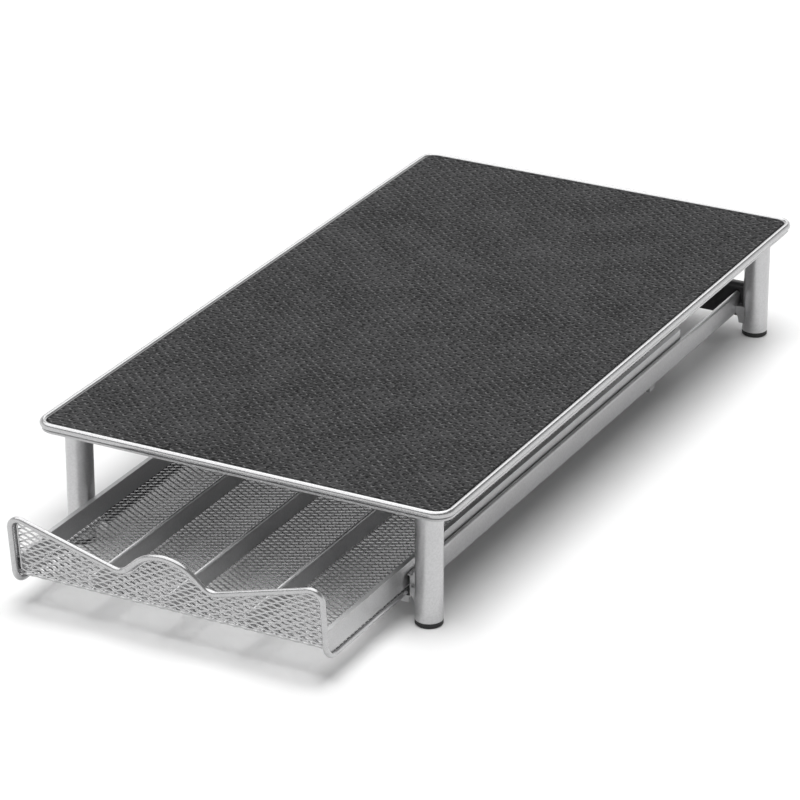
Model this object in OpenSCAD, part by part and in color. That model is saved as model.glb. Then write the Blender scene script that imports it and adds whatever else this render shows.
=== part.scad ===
// Coffee pod drawer: a low wire-and-sheet stand for a coffee machine, with a padded top, four
// tube legs and a shallow expanded-metal drawer that slides in two channel guides under it.
// +X is right, +Y is the rear, +Z is up. The drawer pulls out towards -Y. The origin lies on
// the table under the centre of the whole object with its drawer part way out.

/* [Top] */
// Width of the mat, left to right
mat_w = 214; // [190:1:260]
// Depth of the mat, front to rear
mat_l = 402; // [340:1:480]
// Thickness of the mat
mat_t = 3.4; // [2:0.1:5]
// Radius of the mat's corners
mat_corner = 6; // [4:0.5:12]
// Height of the mat's surface above the table
stand_h = 65; // [62:1:90]
// Thickness of the sheet panel under the mat
panel_t = 1.2; // [0.8:0.1:2]
// Diameter of the rim wire
rim_d = 3.6; // [3:0.1:5]
// How far the panel's edge stays inside the rim wire's outer side
panel_inset = 1; // [0.5:0.1:1.6]

/* [Legs] */
// Outer diameter of the leg tubes
leg_d = 13.5; // [11:0.5:16]
// Wall of the leg tubes
leg_wall = 1.2; // [0.8:0.1:1.6]
// From the mat's side edge to a leg's axis
leg_side_inset = 12.6; // [10:0.1:16]
// From the mat's front edge to the front legs' axes
leg_front_inset = 11.7; // [10:0.1:20]
// From the mat's rear edge to the rear legs' axes
leg_rear_inset = 8.2; // [8:0.1:20]
// Height of a foot's flange
foot_h = 2.7; // [1.5:0.1:4]
// Length of a foot's plug inside the tube
foot_plug = 8; // [5:0.5:12]
// Radius of the edge that a foot stands on
foot_round = 0.6; // [0.3:0.1:1]
// Diameter of the studs that hold the legs to the panel
stud_d = 5; // [4:0.5:6]
// Length of the studs
stud_l = 12; // [8:0.5:16]
// Length of the bushings in the tops of the legs
insert_l = 9; // [6:0.5:14]

/* [Guides] */
// Thickness of the guides' sheet
guide_t = 0.8; // [0.6:0.1:1.2]
// Height of the guides
guide_h = 12; // [10:0.5:18]
// Width of a guide's bottom lip, over the web
guide_lip = 6; // [5:0.5:7]
// Width of a guide's top lip, over the web
guide_top_lip = 2; // [1.8:0.1:2.4]
// Outer radius of the guides' bends
guide_bend = 1.2; // [1:0.1:1.6]
// From the table to the underside of the guides
guide_z = 11.2; // [10.5:0.1:16]
// Gap between a guide's web and the legs
guide_leg_gap = 2.35; // [1.5:0.05:4]
// How far a guide's front end stands ahead of the front legs' axes
guide_lead = 0.6; // [0:0.1:4]
// Depth of the stop that is bent down from a guide's front end
stop_h = 2.8; // [2:0.1:3.4]
// Length of the brackets between the guides and the legs
bracket_l = 5; // [3:0.5:8]
// Height of the brackets where they meet the guides
bracket_h = 4; // [3:0.1:8]
// How far the brackets run down the legs below the guides
bracket_drop = 4.2; // [2:0.1:5]
// Thickness of the brackets' lower ends
bracket_toe = 0.5; // [0.3:0.1:1]

/* [Rear plate] */
// Thickness of the plate between the rear legs
plate_t = 1.2; // [0.8:0.1:2]
// From the table to the plate's lower edge
plate_z = 8.6; // [6:0.1:14]
// Height of the plate
plate_h = 19; // [14:0.5:26]
// Width of the hem along the plate's upper edge
plate_hem = 4; // [3:0.1:6]

/* [Drawer] */
// How far the drawer stands open at rest
pull = 66.7; // [20:0.1:150]
// How far the closed drawer's front stands ahead of the legs' front sides
front_lead = 5.5; // [4:0.1:12]
// Diameter of the drawer's wire
wire_d = 3; // [2.5:0.1:3.4]
// Bend radius of the wire, at its centre, where it turns up at the front
turn_r = 8; // [6:0.5:10]
// Bend radius of the wire, at its centre, at the rear corners
rear_r = 6; // [5:0.5:10]
// Height of the band round the sides and the rear
band_h = 11.5; // [8:0.5:16]
// Thickness of the band
band_t = 0.9; // [0.6:0.1:1.4]
// Width of the band's turned-in top lip
band_lip = 2.4; // [1.8:0.1:3]
// Height of the dividers between the lanes
divider_h = 10.4; // [8:0.1:14]
// Thickness of the dividers
divider_t = 1; // [0.6:0.1:1.4]
// Width of the turned top edge of a divider
divider_bead = 1.8; // [1.5:0.1:2.4]
// From the drawer's rear to the middle of its keeper hooks
hook_back = 42.2; // [30:0.1:80]
// Length of the keeper hooks
hook_l = 6; // [4:0.5:12]
// Thickness of the keeper hooks
hook_t = 1; // [0.8:0.1:1.2]

/* [Drawer front] */
// Forward lean of the front, in degrees
rake = 6.5; // [0:0.5:12]
// Height of the front's two corners above the bend, at the wire's centre
corner_h = 28.2; // [24:0.1:32]
// Bend radius of the two corners
corner_r = 5.5; // [4.5:0.5:8]
// Height of the two notches above the bend
notch_h = 13.5; // [11:0.1:16]
// From the middle of the front to a notch
notch_x = 25.5; // [23:0.5:32]
// Bend radius of the notches
notch_r = 8.5; // [7:0.5:10]
// Height of the middle hump above the bend
hump_h = 26; // [24:0.1:27]
// Slope of the hump's flanks, in degrees
flank = 43; // [42:0.5:48]

/* [Mesh] */
// Thickness of the expanded metal
mesh_t = 1; // [0.6:0.1:1.2]
// Width of one diamond of the front mesh
cell_w = 6.4; // [5:0.1:9]
// Height of one diamond of the front mesh
cell_h = 3.5; // [3:0.1:5]
// Width of the strands of the front mesh
strand = 0.8; // [0.5:0.05:1]
// Width of one diamond of the floor mesh
floor_cell_w = 19.2; // [14:0.1:30]
// Length of one diamond of the floor mesh
floor_cell_l = 10.5; // [8:0.1:20]
// Width of the strands of the floor mesh
floor_strand = 2.2; // [1.4:0.1:3]
// Width of the uncut edge of the mesh, from the wire's centre
mesh_edge = 2.9; // [2.4:0.1:4]

/* [Clearances] */
// Between the mat and the rim wire
mat_gap = 0.3; // [0.2:0.05:0.6]
// Between pieces that are welded or pressed together
weld_gap = 0.1; // [0.05:0.01:0.15]
// Between the drawer's wire and the guide's lip under it
runner_gap = 0.4; // [0.3:0.05:0.6]
// Between the drawer's wire and the guide's web beside it
side_gap = 0.6; // [0.4:0.05:0.8]
// Between the keeper hooks and the guide's lip
hook_gap = 0.4; // [0.3:0.05:0.6]
// Between the closed drawer and the rear plate
stop_gap = 0.3; // [0.2:0.05:0.6]

/* [Hidden] */

$fn = 48;
LEFT = -1;
RIGHT = 1;
LANES = 4;
// Angle between two points of a drawn arc, in degrees
ARC_STEP = 6;
// Overshoot of a cutting solid
CUT = 1;
// Overlap of two stretches of one bent wire
LAP = 0.02;

// Heights of the stand
mat_z = stand_h - mat_t;
panel_z = mat_z - panel_t;

// Sides of the stand, from its middle
rim_x = mat_w / 2 + mat_gap + rim_d / 2;
rim_half_l = mat_l / 2 + mat_gap + rim_d / 2;
rim_corner = mat_corner + mat_gap + rim_d / 2;
leg_x = mat_w / 2 - leg_side_inset;
web_out = leg_x - leg_d / 2 - guide_leg_gap;
web_in = web_out - guide_t;
lip_in = web_out - guide_lip;

// The drawer's wire, mesh and band, from the middle and from the table
wire_r = wire_d / 2;
wire_x = web_in - side_gap - wire_r;
wire_z = guide_z + guide_t + runner_gap + wire_r;
mesh_gap = wire_r + weld_gap + mesh_t / 2;
floor_z = wire_z + mesh_gap + mesh_t / 2;
band_out = wire_x + band_t / 2;
band_in = wire_x - band_t / 2;
lane_pitch = 2 * band_in / LANES;
front_edge = wire_x - band_in + weld_gap;
turn_z = wire_z + turn_r;

// Places along the stand, from the middle of the mat
plate_rel = mat_l / 2 - leg_rear_inset;
leg_front_rel = leg_front_inset - mat_l / 2;
rear_wire_rel = plate_rel - plate_t / 2 - stop_gap - wire_r - pull;
turn_rel = leg_front_rel - leg_d / 2 - front_lead + wire_r + turn_r * cos(rake) - pull;
front_rel = turn_rel - turn_r * cos(rake) - corner_h * sin(rake) - wire_r;

// The same places in the object's own frame, whose origin is midway between front and rear
stand_y = -(front_rel + rim_half_l + rim_d / 2) / 2;
leg_front_y = stand_y + leg_front_rel;
leg_rear_y = stand_y + plate_rel;
guide_front_y = leg_front_y - guide_lead;
guide_rear_y = leg_rear_y - plate_t / 2 - weld_gap;
rear_wire_y = stand_y + rear_wire_rel;
turn_y = stand_y + turn_rel;
side_rear_y = rear_wire_y - rear_r;
hook_y = rear_wire_y + band_t / 2 - hook_back;

// The wave of the front: circles for its corners, notches and hump, joined by tangent lines.
// The hump's radius follows from the slope of its flanks.
hump_r = (notch_x * sin(flank) - (hump_h - notch_h) * cos(flank)) / (1 - cos(flank)) - notch_r;
corner_c = [wire_x - corner_r, corner_h - corner_r];
notch_c = [notch_x, notch_h + notch_r];
hump_c = [0, hump_h - hump_r];
corner_to_notch = notch_c - corner_c;
slope = atan2(-corner_to_notch[0], corner_to_notch[1]) - acos((corner_r + notch_r) / norm(corner_to_notch));

function polar(centre, radius, angle) = centre + radius * [cos(angle), sin(angle)];
function arc(centre, radius, from, to) =
    let (steps = ceil(abs(to - from) / ARC_STEP))
    [for (i = [0:steps]) polar(centre, radius, from + (to - from) * i / steps)];
// Half the height of a strand that is cut straight up
function strand_half(cell, strand_w) = strand_w / 2 * norm(cell) / cell[0];
function mirrored(points) = [for (i = [len(points) - 1:-1:0]) [-points[i][0], points[i][1]]];

// Right half of the wave, from the side to the middle, moved inwards by an inset
function half_wave(inset) = concat(
    arc(corner_c, corner_r - inset, 0, 90 + slope),
    arc(notch_c, notch_r + inset, -90 + slope, -90 - flank),
    arc(hump_c, hump_r - inset, 90 - flank, 90)
);

// The front mesh's outline: the wave moved inwards by an inset, and its lower edge
function front_outline(inset, low) = concat(
    [[wire_x - inset, low]],
    half_wave(inset),
    mirrored(half_wave(inset)),
    [[inset - wire_x, low]]
);

// Flat rectangle with round corners, centred
module rounded_rect(size, radius) {
    square([size[0] - 2 * radius, size[1]], center = true);
    square([size[0], size[1] - 2 * radius], center = true);
    for (x = [-1, 1], y = [-1, 1])
        translate([x * (size[0] / 2 - radius), y * (size[1] / 2 - radius)]) circle(radius);
}

// Quarter of a flat ring, in the corner between +X and +Y
module quarter_ring(outer, wall) {
    intersection() {
        difference() {
            circle(outer);
            circle(outer - wall);
        }
        square(outer);
    }
}

// Round bar from one point along Y
module bar_y(radius, length) {
    rotate([-90, 0, 0]) cylinder(r = radius, h = length);
}

// Round bar from one point along X
module bar_x(radius, length) {
    rotate([0, 90, 0]) cylinder(r = radius, h = length);
}

// Bent round bar in the XY plane, round the origin
module bar_bend(radius, bend, from, to) {
    rotate([0, 0, from]) rotate_extrude(angle = to - from) translate([bend, 0]) circle(radius);
}

// Straight round bar between two bends in the XZ plane. It enters both a little, a little slimmer
module bar_between(radius, a, b) {
    run = b - a;
    translate([a[0], 0, a[1]])
        rotate([0, atan2(run[0], run[1]), 0])
            translate([0, 0, -LAP]) cylinder(r = radius - LAP, h = norm(run) + 2 * LAP);
}

// Bent round bar in the XZ plane
module bar_arc(radius, centre, bend, from, to) {
    translate([centre[0], 0, centre[1]]) rotate([90, 0, 0]) bar_bend(radius, bend, from, to);
}

// Shape for the right side, mirrored for the left
module on_side(side) {
    if (side == RIGHT) children();
    else mirror([1, 0, 0]) children();
}

// ---- Stand ----

// Sheet panel that the rim wire, the mat and the legs are fixed to
module top_panel() {
    size = 2 * [rim_x + rim_d / 2 - panel_inset, rim_half_l + rim_d / 2 - panel_inset];
    color("silver") translate([0, stand_y, panel_z])
        linear_extrude(panel_t) rounded_rect(size, rim_corner + rim_d / 2 - panel_inset);
}

// Round wire that runs round the panel's edge and keeps the mat in place
module rim_wire() {
    run_x = rim_x - rim_corner;
    run_y = rim_half_l - rim_corner;
    color("silver") translate([0, stand_y, mat_z + rim_d / 2 + weld_gap]) {
        for (side = [-1, 1]) {
            translate([side * rim_x, -run_y, 0]) bar_y(rim_d / 2, 2 * run_y);
            translate([-run_x, side * rim_half_l, 0]) bar_x(rim_d / 2, 2 * run_x);
        }
        for (i = [0:3])
            translate([(i == 0 || i == 3 ? 1 : -1) * run_x, (i < 2 ? 1 : -1) * run_y, 0])
                bar_bend(rim_d / 2, rim_corner, 90 * i, 90 * i + 90);
    }
}

// Foam rubber mat inside the rim
module top_mat() {
    color("dimgray") translate([0, stand_y, mat_z])
        linear_extrude(mat_t) rounded_rect([mat_w, mat_l], mat_corner);
}

// Tube leg between a foot and the panel
module leg(side, y) {
    color("silver") translate([side * leg_x, y, foot_h])
        difference() {
            cylinder(d = leg_d, h = panel_z - foot_h);
            translate([0, 0, -CUT]) cylinder(d = leg_d - 2 * leg_wall, h = stand_h);
        }
}

// Rubber plug in the lower end of a leg
module foot(side, y) {
    plug_r = leg_d / 2 - leg_wall - weld_gap;
    color("black") translate([side * leg_x, y, 0]) {
        cylinder(r1 = leg_d / 2 - foot_round, r2 = leg_d / 2, h = foot_round);
        translate([0, 0, foot_round]) cylinder(d = leg_d, h = foot_h - foot_round);
        translate([0, 0, foot_h]) cylinder(r = plug_r, h = foot_plug);
    }
}

// Places something at each leg's axis
module at_legs() {
    for (side = [LEFT, RIGHT], y = [leg_front_y, leg_rear_y]) translate([side * leg_x, y, 0]) children();
}

// Studs welded under the panel, one to a leg
module leg_studs() {
    color("gray") at_legs() translate([0, 0, panel_z - stud_l]) cylinder(d = stud_d, h = stud_l);
}

// Bushings in the tops of the legs, which the studs screw into
module leg_inserts() {
    color("gray") at_legs() translate([0, 0, panel_z - insert_l - weld_gap])
        difference() {
            cylinder(r = leg_d / 2 - leg_wall - weld_gap, h = insert_l);
            translate([0, 0, -CUT]) cylinder(r = stud_d / 2 + weld_gap, h = insert_l + 2 * CUT);
        }
}

// Section of the right guide: web, long bottom lip and short top lip, with bent corners
module guide_section() {
    corner_x = web_out - guide_bend;
    translate([web_in, guide_z + guide_bend]) square([guide_t, guide_h - 2 * guide_bend]);
    translate([lip_in, guide_z]) square([guide_lip - guide_bend, guide_t]);
    translate([web_out - guide_top_lip, guide_z + guide_h - guide_t])
        square([guide_top_lip - guide_bend, guide_t]);
    translate([corner_x, guide_z + guide_h - guide_bend]) quarter_ring(guide_bend, guide_t);
    translate([corner_x, guide_z + guide_bend]) mirror([0, 1]) quarter_ring(guide_bend, guide_t);
}

// Channel that the drawer's side wire slides in, with a stop bent down from its front end
module guide(side) {
    color("silver") on_side(side) {
        translate([0, guide_rear_y, 0])
            rotate([90, 0, 0]) linear_extrude(guide_rear_y - guide_front_y) guide_section();
        translate([lip_in, guide_front_y, guide_z - stop_h])
            cube([guide_lip - guide_bend, guide_t, stop_h + guide_t]);
    }
}

// Bracket between a guide's web and a leg, hollowed to the leg's round. Its underside is an arc
// from the web's lower edge, which ends upright at the toe on the leg
module bracket(side, leg_y, y) {
    low = guide_z - bracket_drop;
    shelf = guide_z + guide_bend;
    run = guide_leg_gap - bracket_toe;
    rise = shelf - low;
    under_r = (run * run + rise * rise) / (2 * run);
    color("silver") on_side(side)
        difference() {
            translate([web_out, y + bracket_l, 0])
                rotate([90, 0, 0]) linear_extrude(bracket_l) difference() {
                    translate([0, low]) square([guide_leg_gap + leg_d / 4, rise + bracket_h]);
                    translate([run - under_r, low]) circle(under_r);
                }
            translate([leg_x, leg_y, 0]) cylinder(r = leg_d / 2 + weld_gap, h = stand_h);
        }
}

// Plate between the rear legs, which stops the drawer, with a hem along its upper edge
module rear_plate() {
    half_w = leg_x - leg_d / 2 - weld_gap;
    top_z = plate_z + plate_h;
    color("dimgray") translate([-half_w, leg_rear_y - plate_t / 2, 0])
        rotate([90, 0, 90]) linear_extrude(2 * half_w) {
            translate([0, plate_z]) square([plate_t, plate_h - 2 * plate_t]);
            translate([2 * plate_t, top_z - 2 * plate_t]) mirror([1, 0]) quarter_ring(2 * plate_t, plate_t);
            translate([2 * plate_t, top_z - plate_t]) square([plate_hem - 2 * plate_t, plate_t]);
        }
}

// ---- Drawer ----

// Moves a shape from the plane of the front, with its lower edge on the XZ plane's X axis,
// to its place and lean; out is its distance from the bend's axis
module on_front(out) {
    translate([0, turn_y, turn_z]) rotate([rake, 0, 0]) translate([0, -out, 0]) children();
}

// Wavy front wire, whose two ends turn back under the drawer's sides
module front_wire() {
    notch_side = polar(notch_c, notch_r, slope - 90);
    notch_middle = polar(notch_c, notch_r, -90 - flank);
    color("silver") {
        on_front(turn_r)
            for (side = [LEFT, RIGHT]) on_side(side) {
                bar_between(wire_r, [wire_x, 0], [wire_x, corner_c[1]]);
                bar_arc(wire_r, corner_c, corner_r, 0, 90 + slope);
                bar_between(wire_r, notch_side, polar(corner_c, corner_r, 90 + slope));
                bar_arc(wire_r, notch_c, notch_r, -90 - flank, slope - 90);
                bar_between(wire_r, polar(hump_c, hump_r, 90 - flank), notch_middle);
            }
        on_front(turn_r) bar_arc(wire_r, hump_c, hump_r, 90 - flank, 90 + flank);
        for (side = [LEFT, RIGHT])
            translate([side * wire_x, turn_y, turn_z])
                rotate([0, 90, 0]) bar_bend(wire_r, turn_r, rake - 90, 0);
    }
}

// Straight side run of the wire, which slides on the guide's bottom lip
module side_wire(side) {
    color("silver") translate([side * wire_x, turn_y, wire_z]) bar_y(wire_r, side_rear_y - turn_y);
}

// Rear run of the wire with its two corners
module rear_wire() {
    run_x = wire_x - rear_r;
    color("silver") translate([0, side_rear_y, wire_z]) {
        translate([-run_x, rear_r, 0]) bar_x(wire_r, 2 * run_x);
        translate([run_x, 0, 0]) bar_bend(wire_r, rear_r, 0, 90);
        translate([-run_x, 0, 0]) bar_bend(wire_r, rear_r, 90, 180);
    }
}

// Strands of expanded metal, centred from left to right and up from 0: each row is one zigzag
// strip, which touches the next row at its points and so leaves diamond openings
module strands(width, length, cell, strand_w) {
    half_t = strand_half(cell, strand_w);
    columns = ceil(width / cell[0]);
    for (row = [0:ceil(2 * length / cell[1])]) {
        line = [for (i = [-columns:columns]) [i, row + abs(i + row) % 2]];
        at = [for (p = line) [p[0] * cell[0] / 2, p[1] * cell[1] / 2]];
        polygon(concat(
            [for (p = at) p + [0, half_t]],
            [for (i = [2 * columns:-1:0]) at[i] - [0, half_t]]
        ));
    }
}

// One diamond opening between the strands, centred
module opening(cell, strand_w) {
    half_h = cell[1] / 2 - strand_half(cell, strand_w);
    half_w = half_h * cell[0] / cell[1];
    polygon([[half_w, 0], [0, half_h], [-half_w, 0], [0, -half_h]]);
}

// Bent stretch of the front mesh, between its upright part and the floor, with rows of openings
// that follow on from the upright part's
module mesh_bend(inner_r) {
    row_angle = cell_h / (2 * inner_r + mesh_t) * 180 / PI;
    rows = floor((90 - rake) / row_angle - 1);
    columns = floor(2 * (wire_x - mesh_edge) / cell_w - 1);
    difference() {
        translate([0, turn_y, turn_z])
            rotate([0, 90, 0]) rotate([0, 0, rake - 90])
                rotate_extrude(angle = 90 - rake)
                    translate([inner_r, front_edge - wire_x]) square([mesh_t, 2 * (wire_x - front_edge)]);
        for (row = [0:rows], i = [-columns:columns])
            if (abs(i + row) % 2 == 1)
                translate([0, turn_y, turn_z])
                    rotate([rake + row * row_angle, 0, 0])
                        translate([i * cell_w / 2, CUT - inner_r, 0])
                            rotate([90, 0, 0]) linear_extrude(mesh_t + 2 * CUT)
                                opening([cell_w, cell_h], strand);
    }
}

// Expanded metal behind the wavy wire, bent back into the floor along its lower edge
module front_mesh() {
    inner_r = turn_r - mesh_gap - mesh_t / 2;
    color("silver") {
        on_front(inner_r)
            rotate([90, 0, 0]) linear_extrude(mesh_t) {
                difference() {
                    polygon(front_outline(front_edge, 0));
                    polygon(front_outline(mesh_edge, -CUT));
                }
                intersection() {
                    polygon(front_outline(mesh_edge - CUT / 2, 0));
                    strands(2 * wire_x, corner_h, [cell_w, cell_h], strand);
                }
            }
        mesh_bend(inner_r);
    }
}

// Outline of the floor, moved inwards by an inset, with its two rear corners round
module floor_outline(inset) {
    length = side_rear_y - turn_y;
    run_x = wire_x - rear_r;
    corner = rear_r + band_t / 2 - inset;
    translate([inset - band_out, inset]) square([2 * (band_out - inset), length - inset]);
    translate([-run_x, length / 2]) square([2 * run_x, length / 2 + corner]);
    for (side = [LEFT, RIGHT]) translate([side * run_x, length]) circle(corner);
}

// Expanded metal floor on the side wires
module floor_mesh() {
    length = rear_wire_y - turn_y;
    cell = [floor_cell_w, floor_cell_l];
    color("silver") translate([0, turn_y, floor_z - mesh_t]) linear_extrude(mesh_t) {
        difference() {
            floor_outline(0);
            floor_outline(mesh_edge);
        }
        intersection() {
            floor_outline(mesh_edge / 2);
            strands(2 * band_out, length, cell, floor_strand);
        }
    }
}

// Section of the band: wall with a turned-in top lip; X is 0 at the wire's centre
module band_section() {
    translate([-band_t / 2, 0]) square([band_t, band_h]);
    translate([band_t / 2 - band_lip, band_h - band_t]) square([band_lip, band_t]);
}

// Side view of everything behind the front and its bend, at a distance from the bend's axis:
// from the rear to the bend, round it and up the leaning front
function behind_outline(out) =
    let (bend = arc([0, 0], out, -90, rake - 180), end = bend[len(bend) - 1])
    concat(
        [[mat_l, -turn_r], [0, -turn_r]],
        bend,
        [end + stand_h * [-sin(rake), cos(rake)], [mat_l, stand_h]]
    );

// Everything behind the front and its bend
module behind_front(out) {
    translate([-band_out - CUT, turn_y, turn_z])
        rotate([90, 0, 90]) linear_extrude(2 * band_out + 2 * CUT) polygon(behind_outline(out));
}

// Side wall of the drawer, whose front end follows the front wire's inner side
module side_strip(side) {
    length = side_rear_y - turn_y + 2 * turn_r;
    color("silver") on_side(side) intersection() {
        translate([wire_x, side_rear_y, floor_z])
            rotate([90, 0, 0]) linear_extrude(length) band_section();
        behind_front(turn_r - wire_r - weld_gap);
    }
}

// Rear wall of the drawer with its two corners
module rear_strip() {
    run_x = wire_x - rear_r;
    color("silver") translate([0, side_rear_y, floor_z]) {
        translate([-run_x, rear_r, 0]) rotate([90, 0, 90]) linear_extrude(2 * run_x) band_section();
        for (side = [LEFT, RIGHT]) on_side(side)
            translate([run_x, 0, 0]) rotate_extrude(angle = 90) translate([rear_r, 0]) band_section();
    }
}

// Upright strip between two lanes
module divider(lane) {
    rear_y = rear_wire_y - band_t / 2 - weld_gap;
    bead_r = divider_bead / 2;
    color("silver") intersection() {
        translate([lane * lane_pitch, rear_y, floor_z])
            rotate([90, 0, 0]) linear_extrude(rear_y - turn_y + turn_r) {
                translate([-divider_t / 2, 0]) square([divider_t, divider_h - bead_r]);
                translate([0, divider_h - bead_r]) circle(bead_r);
            }
        behind_front(turn_r - mesh_gap - mesh_t / 2 - weld_gap);
    }
}

// Bent hook that reaches round the guide's bottom lip, keeps the drawer level and stops it
module keeper_hook(side) {
    arm_x = lip_in - hook_gap - hook_t;
    low = guide_z - hook_gap - stop_h;
    tip_x = web_in - hook_gap - hook_t;
    color("silver") on_side(side) translate([0, hook_y + hook_l / 2, 0])
        rotate([90, 0, 0]) linear_extrude(hook_l) {
            translate([arm_x, low]) square([hook_t, floor_z - mesh_t - low]);
            translate([arm_x, low]) square([tip_x + hook_t - arm_x, hook_t]);
            translate([tip_x, low]) square([hook_t, stop_h]);
        }
}

top_panel();
rim_wire();
top_mat();
leg(LEFT, leg_front_y);  // leg_front_left
leg(RIGHT, leg_front_y);  // leg_front_right
leg(LEFT, leg_rear_y);  // leg_rear_left
leg(RIGHT, leg_rear_y);  // leg_rear_right
foot(LEFT, leg_front_y);  // foot_front_left
foot(RIGHT, leg_front_y);  // foot_front_right
foot(LEFT, leg_rear_y);  // foot_rear_left
foot(RIGHT, leg_rear_y);  // foot_rear_right
leg_studs();
leg_inserts();
guide(LEFT);  // guide_left
guide(RIGHT);  // guide_right
bracket(LEFT, leg_front_y, guide_front_y);  // bracket_front_left
bracket(RIGHT, leg_front_y, guide_front_y);  // bracket_front_right
bracket(LEFT, leg_rear_y, guide_rear_y - bracket_l);  // bracket_rear_left
bracket(RIGHT, leg_rear_y, guide_rear_y - bracket_l);  // bracket_rear_right
rear_plate();
front_wire();
side_wire(LEFT);  // side_wire_left
side_wire(RIGHT);  // side_wire_right
rear_wire();
front_mesh();
floor_mesh();
side_strip(LEFT);  // side_strip_left
side_strip(RIGHT);  // side_strip_right
rear_strip();
divider(-1);  // divider_left
divider(0);  // divider_centre
divider(1);  // divider_right
keeper_hook(LEFT);  // keeper_hook_left
keeper_hook(RIGHT);  // keeper_hook_right
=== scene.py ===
"""Looks of a coffee pod drawer: its silver paint, its embossed mat and its expanded-metal basket.

Each piece or group of like pieces has an operator, and the stage has one too. Lengths are in
metres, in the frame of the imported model: +X right, +Y rear, +Z up, the table at Z 0.
"""

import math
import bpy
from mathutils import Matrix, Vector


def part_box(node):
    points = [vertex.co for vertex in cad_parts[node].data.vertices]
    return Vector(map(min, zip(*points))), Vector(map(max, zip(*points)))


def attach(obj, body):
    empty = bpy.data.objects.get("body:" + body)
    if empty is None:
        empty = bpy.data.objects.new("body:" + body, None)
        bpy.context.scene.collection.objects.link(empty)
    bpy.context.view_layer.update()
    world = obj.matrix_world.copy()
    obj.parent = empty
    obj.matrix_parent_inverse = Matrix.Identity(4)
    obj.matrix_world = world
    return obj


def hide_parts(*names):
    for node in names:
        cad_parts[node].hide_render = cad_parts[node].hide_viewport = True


bl_info = {
    "name": "Coffee Pod Drawer Looks",
    "version": (1, 0, 0),
    "blender": (4, 5, 0),
    "location": "3D View > Sidebar > Pod Drawer",
    "description": "Finishes a coffee pod drawer and builds its mat, its mesh basket and its stage",
    "category": "Object",
}

import bmesh
import bpy
from bpy.props import FloatProperty, FloatVectorProperty, PointerProperty
from mathutils import Euler, Vector
from mathutils.geometry import tessellate_polygon

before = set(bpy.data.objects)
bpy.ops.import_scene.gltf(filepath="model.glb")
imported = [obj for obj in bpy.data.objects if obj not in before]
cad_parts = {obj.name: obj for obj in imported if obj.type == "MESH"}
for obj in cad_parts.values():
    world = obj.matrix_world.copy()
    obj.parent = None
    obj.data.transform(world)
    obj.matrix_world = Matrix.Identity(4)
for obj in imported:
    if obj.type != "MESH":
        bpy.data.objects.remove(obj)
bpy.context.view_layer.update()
MM = 0.001
QUARTER = math.pi / 2
WHITE = (1, 1, 1, 1)
CORNERS = [f"{end}_{side}" for end in ("front", "rear") for side in ("left", "right")]

WIRE_LOW, WIRE_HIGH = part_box("side_wire_right")
FLOOR_LOW, FLOOR_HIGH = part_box("floor_mesh")
MAT_LOW, MAT_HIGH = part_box("top_mat")
MAT_MIDDLE = (MAT_LOW + MAT_HIGH) / 2

# How metallic the silver paint is
WIRE_METAL = 0.9
MESH_METAL = 0.92
SHEET_METAL = 0.66
LEG_METAL = 0.85

# Soft edges of the sheet metal
WELD_REACH = 0.001 * MM
SOFT_WIDTH = 0.15 * MM
SOFT_SEGMENTS = 2
SHARP_ANGLE = math.radians(50)

# Distances from a pit's middle, 1 at its rim: where its painted shade fades out, and where the
# painted highlight in front of it fades in and out
PIT_SHADE_FADE = (0.5, 1.2)
CREST_RISE = (0.8, 1.3)
CREST_FADE = (1.4, 2.1)

# The eight points round a cell of the mat, in halves of its width and length
ROUND_CELL = ((1, 0), (1, 1), (0, 1), (-1, 1), (-1, 0), (-1, -1), (0, -1), (1, -1))
AROUND = len(ROUND_CELL)
CELL_SIDES = [(i, (i + 1) % AROUND) for i in range(AROUND)]

# Two rings of points round a pit, as shares of its width, its length and the swell's height:
# the swell's top, and the pit's rim below it
PIT_RINGS = ((0.95, 0.85, 0.0), (0.5, 0.5, 0.6))

# How far inside the mat's edge its cells start, in radii of that edge
FLAT_START = 1.3

# Steps of the curves
MAT_CORNER_STEPS = 10
MAT_EDGE_STEPS = 5
WAVE_CORNER_STEPS = 16
WAVE_NOTCH_STEPS = 12
WAVE_HUMP_STEPS = 10
LIP_STEPS = 9

# Expanded metal: from a knot's middle to a strand's centreline, in widths of the strand; how
# soon after a knot a strand is straight, as a share of its slope; the bevel of a strand, as a
# share of the sheet's thickness; and how often a cut strand is halved to find its end
KNOT_LAP = 0.45
KNOT_EASE = 0.08
STRAND_BEVEL = 0.22
HALVINGS = 10

# Rolled lip of the front mesh
LIP_RADIUS = 0.45 * MM
LIP_OUT = 0.1 * MM
LIP_SWEEP = 0.75 * math.pi

# Directions from the mat's middle to the lamps
OVERHEAD = (0.11, -0.12, 1.3)
ABOVE_LEFT = (-0.39, 0.065, 1.3)
BEHIND = (-0.35, 0.96, 0.8)

# Floor: how far it goes each way, and the size of its soft clouds
FLOOR_REACH = 4.0
FLOOR_CLOUD = 0.4

# Sky: the white of its wall, and the rises of the view at which wall turns into ceiling
WALL_LIGHT = 1.0
WALL_TOP = (0.15, 0.6)

# Camera: width of its film in mm, and how far it sees
FILM_WIDTH = 36
SIGHT = 20


# ---------------------------------------------------------------------------------------
# Sizes and colours
# ---------------------------------------------------------------------------------------


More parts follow.
